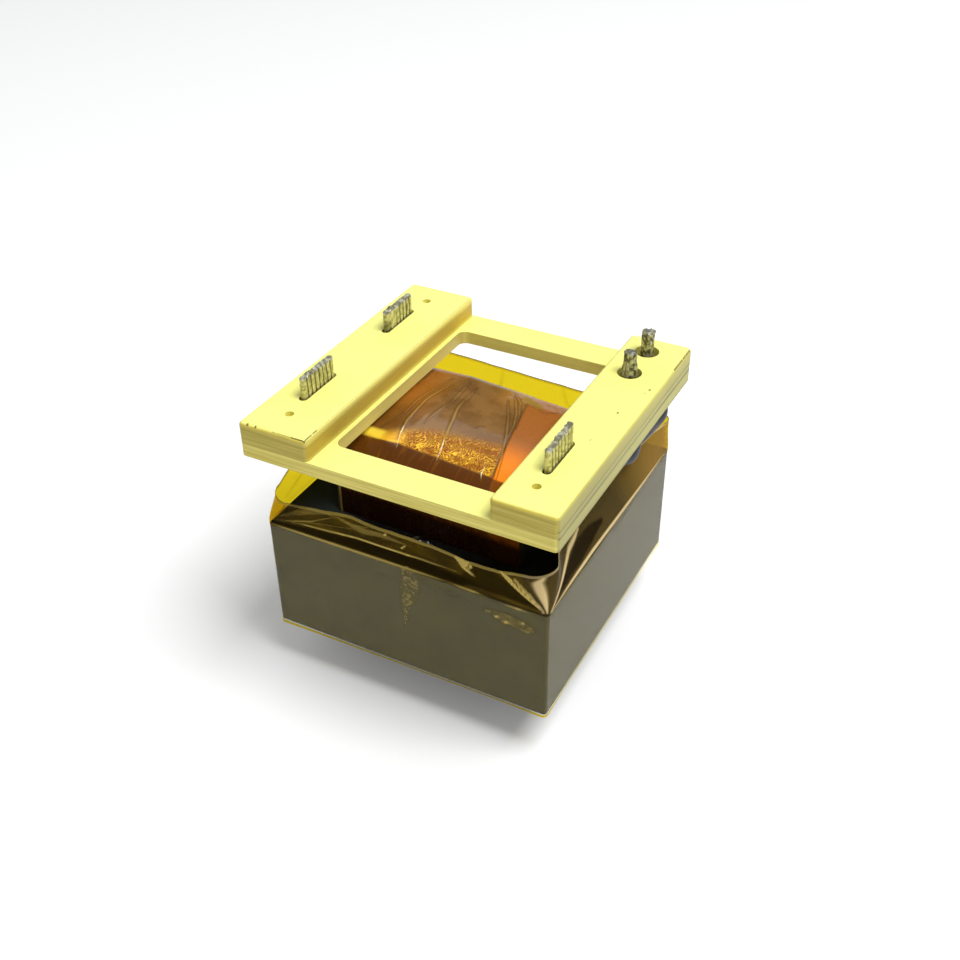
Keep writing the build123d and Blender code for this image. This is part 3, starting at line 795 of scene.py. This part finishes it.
def band_relief(station, level):
    """How far the film stands out from its plain form, and its places of painted highlight, painted
    shade and glue. It clings below and sways above, and is creased where it turns the corners and
    was pressed."""
    free = np.clip(level / sway_height, 0, 1)
    sway = sway_depth * clouds(station, level * 2.0, 22.0, seed=5) * free
    cling = cling_depth * clouds(station, level, 7.0, seed=8) * (1 - free)
    relief = sway + cling - lean * np.clip(level, 0, None) / lean_height
    painted = [np.zeros(level.shape) for _ in range(3)]
    for wall, points, half_widths, kind, strength in film_strokes:
        one = stroke(station, level, on_wall(wall, points), half_widths, soft=0.5)
        painted[kind] = np.maximum(painted[kind], one * strength)
    painted[highlight_kind] = painted[highlight_kind] * (1 - painted[shade_kind])
    for wall, creases in film_creases.items():
        for points, width, lift, highlight_strength in creases:
            one = fold(station, level, on_wall(wall, points), width)
            relief = relief + lift * one
            painted[highlight_kind] = np.maximum(painted[highlight_kind], highlight_strength * np.clip(one * 1.2, 0, 1))
    return relief, np.stack(painted, axis=-1)


relief, painted = band_relief(station, level)
relief = np.where(level < 0, np.maximum(relief, -cling_depth), relief)
skins = []
for inset in (0.0, film_thickness):
    out_by = corner_radius - inset + relief
    x = (band_half_length - corner_radius) * side_x + out_by * np.cos(direction)
    y = (band_half_width - corner_radius) * side_y + out_by * np.sin(direction)
    skins.append(side_by_side(x, y, level + core_top))
film_points = np.concatenate([skins[0], skins[1][::-1]])
film_places = side_by_side(station, level, rim - level)
film_places = np.concatenate([film_places, film_places[::-1]])
painted = np.concatenate([painted, painted[::-1]])


def film_finish():
    """Clear amber film. Where it stands free, light passes with a yellow tint, and the surface
    mirrors a little of the room, more towards grazing angles. Over the skirt a veil of colour
    stands for its haze and, painted stronger on the outer walls and lighter towards the back
    corner, for painted reflection. Painted highlights lie in it, and painted shade strokes darken
    it and the tint."""
    film = Paint("film_amber")
    spot = film.place()
    station, level, to_rim = film.parts(film.attribute("film"))
    highlight_strength, dark, glued = film.parts(film.attribute("paint"))
    left_corner, back_corner = half_round * -0.5, half_round * 1.5
    hem_level = core_bottom - core_top
    free = level.rise(-0.1, 0.5)
    outside = 1.0 - film.node("NewGeometry", output="Backfacing")
    below = 1 - level.rise(hem_level - 0.05, hem_level + 0.3)
    unseen_sides = 1 - station.band(left_corner + 2.0, back_corner - 2.0, 1.0)
    thick = (level + unseen_sides * 0.6).rise(-0.35, -0.1).math("MAXIMUM", below)
    # Painted shade strokes darken the tint.
    tint = film.coats(
        film.blend(thick, (1.0, 1.0, 1.0), (0.93, 0.81, 0.12)),
        (dark * free * 0.8, (0.66, 0.52, 0.05)),
        ((1 - to_rim.rise(0.1, 0.22)) * 0.8, (0.25, 0.16, 0.03)),
    )
    ripple = film.bump(film.noise(spot, 3.5, detail=2.0) * (free * 0.9 + 0.1), 0.2)
    clear = film.node("BsdfTransparent", {}, {"Color": tint})
    mirror = film.node("Fresnel", {}, {"IOR": 1.5, "Normal": ripple}) * outside
    mirror = mirror * thick * 0.12 * (1 - dark * 0.6)
    crumbs = film.noise(spot, 0.6, detail=2.0).rise(0.46, 0.56)
    # Painted highlights along the rim and from the creases and strokes; glue marks join them.
    rim_highlight = (1 - to_rim.rise(0.5, 0.7)) * free * 0.3
    light = highlight_strength.math("MAXIMUM", rim_highlight).math("MAXIMUM", glued * crumbs * 0.45)
    drawn = film.node("CombineXYZ", {}, {0: station * 0.12, 1: level + station * 0.08, 2: 0.0})
    highlight_streaks = film.noise(drawn, 1.6).rise(0.38, 0.64)
    # The veil is painted stronger on the outer walls and towards the back corner, lighter in tone
    # towards the back and darker under the painted shade strokes, as painted reflection.
    haze_and_reflection = station.band(left_corner + 5.0, back_corner - 2.2, 3.0) * outside
    far = station.band(back_corner - 26.0, back_corner - 2.2, 3.0) * outside
    veil = free * (0.1 + haze_and_reflection * 0.5 + far * 0.2) + light * 0.8 * (outside * 0.8 + 0.2)
    here = (mirror + veil).math("MINIMUM", 1.0)
    share = mirror / (here + 0.001)
    right_wall = station.band(half_round * 0.48, back_corner, 0.4)
    front_veil = film.blend(dark, tone(72, 56, 5), tone(40, 30, 3))
    front_veil = film.blend(highlight_streaks * (1 - dark), front_veil, tone(104, 82, 9))
    right_veil = film.blend(dark, tone(84, 68, 26), tone(44, 33, 8))
    to_far = station.rise(half_round + 4.0, half_round + 26.0)
    right_veil = film.blend(to_far, right_veil, tone(140, 106, 34))
    light_tone = film.blend(right_wall, tone(206, 182, 100), tone(206, 182, 132))
    veil_colour = film.blend(right_wall, front_veil, right_veil)
    veil_colour = film.blend(light.rise(0.1, 0.5), veil_colour, light_tone)
    gloss = film.principled(
        base_color=film.blend(share, veil_colour, (1.0, 1.0, 1.0)),
        metallic=share,
        roughness=film.noise(spot, 4.0) * 0.08 + 0.16,
        specular_ior_level=0.0,
        normal=ripple,
    )
    return film.finish(film.node("MixShader", {}, {"Fac": here, 1: clear, 2: gloss}))


add_piece(
    "film_band", "core_band", "film", film_finish(), film_points,
    closed=True, film=film_places, paint=painted,
)

# Drop of glue. Dark glue was run over the joint of the two front legs, and set in shiny lumps.
glue = Paint("glue_dark")
glue_finish = glue.surface(
    base_color=glue.blend(glue.noise(glue.place(), 1.2), tone(4, 4, 4), tone(16, 16, 14)),
    roughness=0.06,
    normal=glue.bump(glue.noise(glue.place(), 0.7), 0.25),
)
glue_x = -0.5
glue_half_length, glue_half_depth = 3.7, 2.4


def glue_piece():
    """A lumpy drop: ovals that shrink and rise from its foot to its top."""
    low, high = box_of("joint_glue")
    middle_y = (low[1] + high[1]) / 2
    turn = np.linspace(0, 2 * math.pi, 96, endpoint=False)
    share = np.linspace(0, 1, 40)[:, None]
    uneven = 1 + 0.16 * clouds(np.cos(turn) * 4, np.sin(turn) * 4, 3.0, seed=3)
    spread = np.cos(share * math.pi / 2) ** 0.7 * uneven
    x = glue_x + glue_half_length * spread * np.cos(turn)
    y = middle_y + glue_half_depth * spread * np.sin(turn)
    lumps = np.clip(0.65 + 0.5 * clouds(x, y, 1.5, seed=4), 0.15, 1.0)
    z = low[2] + (high[2] - low[2]) * np.sin(share * math.pi / 2) ** 0.8 * lumps
    points = side_by_side(x, y, z)
    base = points[:1] * (0.0, 0.0, 1.0) + (glue_x, middle_y, 0.0)
    add_piece("glue_drop", "joint_glue", "glue", glue_finish, np.concatenate([base, points]))


glue_piece()

# Pin board. The frame and the two bars are sawn from pale yellow glass laminate. Their faces are
# satin smooth, and the sawn edges show the layers of cloth as fine lines.
wells = [(27.2, 18.3, 2.8), (27.2, 28.4, 2.8)]
wells += [(27.5, -27.7, 1.1), (-27.5, -27.7, 1.1), (-27.5, 27.7, 1.1)]


def laminate_finish(name, dark, light, lit_and_shaded, marks_and_shade):
    """Pale yellow laminate with faint weave on its faces, and streaks of two tones on its edges.
    Those that face +X take tones of painted light and shade, given with the heights they are
    reached at: the frame's left window wall is painted lighter and the sides darker towards the
    front. The walls of round wells, given with their places and radii, take a light one as painted
    light, and so do the rounded top edge of the sides and the inner face of the back rail. Marks
    are dark lines and nicks on the faces, and on the frame a painted shade at the foot of the left
    bar, each given as two corners and a strength."""
    board = Paint(name)
    spot = board.place()
    x, y, z = board.parts(spot)
    toward_right, toward_back, upward = board.parts(board.node("NewGeometry", output="Normal"))
    edge = 1 - upward.math("ABSOLUTE").rise(0.5, 0.85)
    streak = board.noise(board.stretch(spot, (0.04, 0.04, 2.4)), 1.0, detail=4.0, roughness=0.65)
    face = board.blend(board.noise(spot, 14.0), tone(252, 249, 134), tone(255, 254, 152))
    rough_rim = board.noise(board.stretch(spot, (0.3, 0.3, 1.0)), 1.5) * 0.8
    side_lit_and_shaded = lit_and_shaded[0][1]
    for (below, _), (above, layer) in zip(lit_and_shaded, lit_and_shaded[1:]):
        side_lit_and_shaded = board.blend((z + streak * 0.8 - 0.4).rise(below, above), side_lit_and_shaded, layer)
    # Painted light and shade on the +X sides: the frame's left window wall lighter, and all of them
    # darker towards the front.
    window_left = (1 - x.rise(-5.0, 0.0)) * (1 - z.rise(59.5, 59.7))
    side_lit_and_shaded = board.coats(
        side_lit_and_shaded,
        (1 - y.rise(-25.0, 12.0), board.blend(0.25, side_lit_and_shaded, tone(90, 86, 60))),
        (window_left, tone(230, 212, 120)),
    )
    # Painted light on the rounded top edge of the sides and on the inner face of the back rail.
    inner = 1 - y.math("ABSOLUTE").rise(33.5, 34.2)
    side = board.coats(
        board.blend(streak.rise(0.35, 0.65), dark, light),
        ((z + rough_rim).rise(64.1, 65.0) * 0.8, tone(240, 216, 84)),
        (toward_right.rise(0.5, 0.9) * 0.88, side_lit_and_shaded),
        (inner * (toward_back * -1.0).rise(0.5, 0.9), tone(255, 250, 140)),
    )
    # Painted light on the walls of the round wells.
    for well_x, well_y, radius in wells:
        far = ((x - well_x) * (x - well_x) + (y - well_y) * (y - well_y)).math("SQRT")
        side = board.blend(1 - far.rise(radius, radius + 0.1), side, tone(255, 246, 128))
    colour = board.blend(edge, face, side)
    ragged = board.noise(board.stretch(spot, (1.0, 1.0, 0.2)), 0.8, detail=2.0)
    for (x0, y0), (x1, y1), strength in marks_and_shade:
        here = x.band(x0, x1, 0.06) * y.band(y0, y1, 0.06) * z.rise(56.0, 64.3)
        here = here * ragged.rise(0.25, 0.45) * strength
        colour = board.blend(here, colour, tone(96, 80, 30))
    specks = board.noise(spot, 0.5, detail=1.0)
    speck_here = specks.rise(0.79, 0.82) * board.noise(spot, 6.0).rise(0.52, 0.6)
    colour = board.blend(speck_here * 0.6, colour, tone(120, 104, 40))
    return board.surface(
        base_color=colour,
        roughness=board.noise(spot, 3.0) * 0.12 + 0.42,
        specular_ior_level=0.25,
        normal=board.bump(streak * edge + board.noise(spot, 0.4) * 0.15, 0.12),
    )


# On the frame, the mark is a painted shade at the foot of the left bar.
frame_foot_shade = [((-19.0, -26.9), (-17.7, 26.9), 0.25)]
frame_layers_lit_shaded = [
    (56.7, tone(136, 134, 80)),
    (57.3, tone(184, 180, 112)),
    (59.0, tone(190, 184, 112)),
    (59.7, tone(116, 114, 62)),
]
left_layers_lit_shaded = [
    (59.7, tone(232, 214, 112)),
    (60.8, tone(206, 172, 62)),
    (62.8, tone(208, 176, 66)),
    (63.9, tone(240, 226, 122)),
]
right_layers_lit_shaded = [
    (59.7, tone(112, 110, 60)),
    (60.0, tone(184, 180, 116)),
    (60.9, tone(182, 176, 108)),
    (61.2, tone(126, 122, 62)),
    (61.5, tone(186, 178, 102)),
    (63.6, tone(196, 188, 106)),
    (64.4, tone(220, 212, 110)),
]
left_marks = [
    ((-19.45, -34.4), (-19.25, -30.0), 0.9),
    ((-19.4, -30.0), (-19.25, 34.0), 0.35),
    ((-27.0, -34.5), (-22.5, -34.35), 0.5),
    ((-22.5, -34.5), (-19.3, -34.3), 1.0),
    ((-33.2, -34.6), (-32.7, -34.2), 0.9),
    ((-31.2, -34.6), (-30.8, -34.2), 0.9),
]
right_marks = [
    ((30.9, 2.1), (31.3, 2.7), 0.9),
    ((33.3, 13.2), (33.8, 13.9), 0.8),
    ((33.0, 11.6), (33.3, 12.0), 0.5),
    ((30.0, -9.6), (30.3, -8.6), 0.35),
    ((21.3, 30.5), (21.6, 34.5), 0.6),
    ((34.9, 24.0), (35.2, 33.8), 0.7),
    ((21.25, -20.0), (21.5, 16.0), 0.3),
]
frame_tones = (tone(210, 192, 88), tone(236, 222, 122))
bar_tones = (tone(178, 160, 62), tone(204, 188, 94))
for node, name, tones, layers, marks_and_shade in (
    ("board_frame", "laminate_frame", frame_tones, frame_layers_lit_shaded, frame_foot_shade),
    ("bar_left", "laminate_left", bar_tones, left_layers_lit_shaded, left_marks),
    ("bar_right", "laminate_right", bar_tones, right_layers_lit_shaded, right_marks),
):
    refinish([node], laminate_finish(name, *tones, layers, marks_and_shade))


# Flat terminals. Eight stranded wires stand side by side in each slot. They were dipped in solder
# and cut off, so their sides are tinned and the tops are bare and grey. The gaps between the wires
# and their feet are painted darker.
def tinned_finish(name, bright, dull, dark):
    """Dipped wire: solder on what stands out, painted darker in the hollows and low down."""
    tin = Paint(name)
    spot = tin.place()
    hollow, cut, darkening = tin.parts(tin.attribute("wire"))
    patch = tin.noise(spot, 0.9)
    darkened = (darkening + patch * 0.8).rise(0.7, 1.1) * 0.8
    # Painted darker in the hollows and low down, together with the stains.
    stained = hollow.rise(0.45, 0.9).math("MAXIMUM", darkened)
    bare = tin.blend(patch.rise(0.3, 0.6), tone(186, 188, 172), tone(100, 100, 82))
    tinned = tin.blend(patch.rise(0.35, 0.7), bright, dull)
    return tin.surface(
        base_color=tin.coats(tinned, (stained, dark), (cut * 0.8, bare)),
        metallic=0.45 - stained * 0.3 - cut * 0.2,
        roughness=patch * 0.25 + 0.22,
        normal=tin.bump(tin.noise(spot, 0.28), 0.06),
    )


def wire_piece(name, node, rings, material):
    """Join rings of points, from the foot to the middle of the cut top, into one piece. With each
    comes how hollow, how bare from the cut and how darkened it is."""
    whole = np.concatenate([points for points, *_ in rings])
    wear = [side_by_side(points[..., 0], *states)[..., 1:] for points, *states in rings]
    add_piece(name, node, "tinned", material, whole, wire=np.concatenate(wear))


solder_tones = (tone(214, 208, 156), tone(150, 144, 88), tone(78, 72, 28))
solder_finish = tinned_finish("solder_tinned", *solder_tones)
strand_count = 8
comb_margin = 0.2


def comb_piece(name, node, seed, groove, twist, step, lump, dirt, tilt):
    """One row of wires run together by solder: a plate with round ends, whose two sides are
    grooved between the wires. Each wire is cut at its own height, comb_margin or more under the
    solid's top, and solder stands up in a lump at a place along the row. Columns run round the
    plate, and rows rise to its cut top and close over it towards the middle line. dirt says how
    much of the sides is stained, and tilt how much lower the cut is on the right."""
    low, high = box_of(node)
    centre = (low + high) / 2
    thick, long = (high - low)[:2] / 2
    straight = long - thick
    side = np.linspace(-straight, straight, 112)
    turn = np.linspace(0, math.pi, 18)[1:-1]
    flat = np.full_like(side, thick)
    x = np.concatenate([flat, thick * np.cos(turn), -flat, -thick * np.cos(turn)])
    end = straight + thick * np.sin(turn)
    y = np.concatenate([side, end, side[::-1], -end])
    share = np.linspace(0, 1, 40)[:, None]
    wires = (y + long) / (2 * long) * strand_count
    place = wires + twist * (share - 1) + 0.12 * clouds(y, share * 8, 4.0, seed)
    wave = np.abs(np.sin(math.pi * place)) ** 0.7
    cuts = np.random.default_rng(seed).uniform(-1, 1, strand_count + 2)
    which = np.clip(wires, 0, strand_count - 0.01)
    number = which.astype(int)
    eased = np.clip((which % 1 - 0.85) / 0.15, 0, 1)
    stepped = cuts[number] + (cuts[number + 1] - cuts[number]) * eased
    lump_at, lump_high, lump_wide = lump
    from_lump = y + centre[1] - lump_at
    raised = lump_high * np.exp(-((from_lump / 0.55) ** 2))
    blob = lump_wide * np.exp(-(((from_lump + 0.8) / 2.4) ** 2) - ((share - 1) / 0.3) ** 2)
    top = high[2] - comb_margin - lump_high * 0.8
    top = top + step * (stepped - 1) - tilt * (1 + x / thick) / 2
    sides_only = np.clip((straight - np.abs(y)) / 0.2, 0, 1)
    covered = (1 - np.clip(blob * 4, 0, 1)) * sides_only
    depth = groove * (1 - wave) * covered + 0.03 * (1 + clouds(y * 2, share * 9, 2.4, seed + 3))
    body = 1 - depth / thick
    level = low[2] + (top - low[2]) * share
    sides = side_by_side(centre[0] + x * body, centre[1] + y * (0.97 + 0.03 * body), level)
    base = sides[:1].copy()
    base[..., 0] = centre[0] + (base[..., 0] - centre[0]) * 0.002
    hollow = depth / max(groove, 0.05)
    stain = dirt * np.clip(clouds(y, share * 7, 3.2, seed + 7) * 3, 0, 1) * (1 - share**4)
    rings = [(base, 0.0, 0.0, 0.0), (sides, hollow, 0.0, np.maximum((1 - share) ** 3, stain))]
    for shrink, lift in ((0.9, 0.05), (0.6, 0.08), (0.25, 0.08), (0.002, 0.07)):
        ring = sides[-1:].copy()
        ring[..., 0] = centre[0] + (ring[..., 0] - centre[0]) * shrink
        levelled = tilt * (x / thick) * (1 - shrink) / 2
        rough = 0.03 * clouds(y * 3, x * shrink * 3, 2.0, seed)
        ring[..., 2] += levelled + lift + raised * (1 - shrink**3) + rough
        rings.append((ring, hollow[-1:] * shrink, 1.0, 0.0))
    wire_piece(name, node, rings, solder_finish)


comb_piece(
    "wires_left_front", "comb_left_front",
    seed=21, groove=0.14, twist=0.15, step=0.05, lump=(-19.2, 0.5, 0.0), dirt=0.0, tilt=0.35,
)
comb_piece(
    "wires_left_back", "comb_left_back",
    seed=40, groove=0.12, twist=0.1, step=0.08, lump=(13.2, 0.6, 0.4), dirt=1.0, tilt=0.4,
)
comb_piece(
    "wires_right_front", "comb_right_front",
    seed=60, groove=0.28, twist=0.6, step=0.22, lump=(-13.0, 0.1, 0.0), dirt=0.3, tilt=0.25,
)


# Round terminals. A thick twist of fine wires comes up through each wide hole, tinned and cut off.
# The solder bridges some of the wires and leaves dark hollows between others.
bundle_tones = (tone(184, 180, 144), tone(108, 102, 60), tone(40, 37, 16))
bundle_finish = tinned_finish("solder_rough", *bundle_tones)
bundle_radius = 1.45
bundle_margin = 0.35


def bundle_piece(name, node, seed, lobes, turns, flare, burr):
    """A twist of wires that widens downwards: its outline has as many lobes as it has outer wires,
    which turn round it as it rises, and solder lumps lie over them. It narrows between the two
    shares of its height that flare gives, and a burr stands out from its cut edge."""
    low, high = box_of(node)
    foot_radius = (high[0] - low[0]) / 2
    turn = np.linspace(0, 2 * math.pi, 120, endpoint=False)
    share = np.linspace(0, 1, 80)[:, None]
    narrowed = np.clip((share - flare[0]) / (flare[1] - flare[0]), 0, 1)
    radius = foot_radius + (bundle_radius - foot_radius) * narrowed
    around_x, around_y = bundle_radius * np.cos(turn), bundle_radius * np.sin(turn)
    height = share * (high[2] - low[2])
    bent = clouds(around_x + height * 0.4, around_y - height * 0.3, 3.5, seed)
    wave = np.abs(np.cos(lobes / 2 * turn + turns * 2 * math.pi * share + 1.1 * bent)) ** 0.7
    lumps = clouds(around_x * 1.2 + height, around_y * 1.2 - height * 0.7, 1.3, seed + 2)
    fine = clouds(around_x * 2 - height, around_y * 2 + height, 0.9, seed + 4)
    wave = wave + (0.85 - wave) * np.clip(lumps * 2.0, 0, 1)
    point = burr * np.exp(-(((turn - 0.6) / 0.3) ** 2)) * share**30
    body = radius * (0.86 + 0.13 * wave + 0.05 * lumps + 0.03 * fine + point) - 0.02
    jag = 0.22 * clouds(around_x * 2, around_y * 2, 2.2, seed + 1)
    cut_top = high[2] - bundle_margin
    middle = np.array([*(low + high)[:2] / 2, 0.0])
    level = low[2] + (cut_top - low[2]) * share + jag * share**8
    sides = middle + side_by_side(body * np.cos(turn), body * np.sin(turn), level)
    base = middle + (sides[:1] - middle) * (0.001, 0.001, 1.0)
    darkened = np.clip(-lumps * 3.5 - 0.1, 0, 1)
    rings = [(base, 0.0, 0.0, 0.0), (sides, 1 - wave, 0.0, darkened)]
    for shrink, lift in ((0.93, 0.08), (0.75, 0.0), (0.5, 0.09), (0.25, 0.02), (0.001, 0.06)):
        ring = middle + (sides[-1:] - middle) * (shrink, shrink, 1.0)
        rough = 0.08 * clouds(around_x * shrink * 2, around_y * shrink * 2, 1.2, seed + 5)
        ring[..., 2] = sides[-1:, :, 2] * shrink + cut_top * (1 - shrink) + lift + rough
        rings.append((ring, 0.0, 1.0, 0.0))
    wire_piece(name, node, rings, bundle_finish)


bundle_piece(
    "wires_right_middle", "bundle_right_front",
    seed=5, lobes=10, turns=0.35, flare=(0.42, 0.74), burr=0.0,
)
bundle_piece(
    "wires_right_back", "bundle_right_back",
    seed=9, lobes=9, turns=-0.6, flare=(0.0, 0.47), burr=0.22,
)

# Sleeved leads. Each wire end is covered by a dark slate sleeve from the coil to its hole.
sleeve = Paint("sleeve_slate")
spot = sleeve.place()
sleeve_finish = sleeve.surface(
    base_color=sleeve.blend(sleeve.noise(spot, 2.0), tone(26, 29, 36), tone(46, 50, 62)),
    roughness=0.45,
    normal=sleeve.bump(sleeve.noise(spot, 0.5), 0.05),
)
refinish(["lead_left_front", "lead_left_back", "lead_right_front"], sleeve_finish)


def sleeve_piece(name, node, stops, radius):
    """A round sleeve swept along a smooth line through some stops: rings of points that face along
    the line, the first and the last closed to a point."""
    stops = np.array(stops, float)
    travelled = np.concatenate([[0], np.cumsum(np.linalg.norm(np.diff(stops, axis=0), axis=1))])
    where = np.linspace(0, travelled[-1], 90)
    line = np.stack([smooth_line(travelled, stops[:, i], where) for i in range(3)], axis=-1)
    heading = np.gradient(line, axis=0)
    heading /= np.linalg.norm(heading, axis=1)[:, None]
    sideways = [np.cross(heading[0], (0.0, 0.0, 1.0))]
    for ahead in heading:
        turned = sideways[-1] - ahead * np.dot(ahead, sideways[-1])
        sideways.append(turned / np.linalg.norm(turned))
    sideways = np.array(sideways[1:])
    over = np.cross(sideways, heading)
    turn = np.linspace(0, 2 * math.pi, 28, endpoint=False)[None, :, None]
    around = np.cos(turn) * sideways[:, None] + np.sin(turn) * over[:, None]
    swell = np.concatenate([[0.01], np.ones(88), [0.01]])[:, None, None] * radius
    points = line[:, None] + around * swell
    points[0] += line[1] - line[0]
    points[-1] -= line[-1] - line[-2]
    add_piece(name, node, "sleeving", sleeve_finish, points[::-1])


front_stops = [
    (21.1, 8.6, 50.9), (25.0, 7.2, 51.2), (29.2, 6.8, 51.0), (31.2, 9.6, 50.1),
    (31.1, 12.2, 50.4), (29.6, 15.3, 52.2), (27.2, 18.3, 56.0), (27.2, 18.3, 61.0),
]
back_stops = [
    (21.1, 1.2, 50.6), (24.0, 3.5, 49.0), (26.2, 9.0, 47.2), (28.3, 14.5, 47.9), (30.1, 19.0, 49.6),
    (30.7, 24.5, 49.8), (31.1, 28.2, 50.5), (29.8, 29.8, 53.4), (27.4, 28.7, 57.2),
    (27.2, 28.4, 61.0),
]
sleeve_piece("sleeve_front", "lead_bundle_front", front_stops, 1.9)
sleeve_piece("sleeve_back", "lead_bundle_back", back_stops, 2.0)
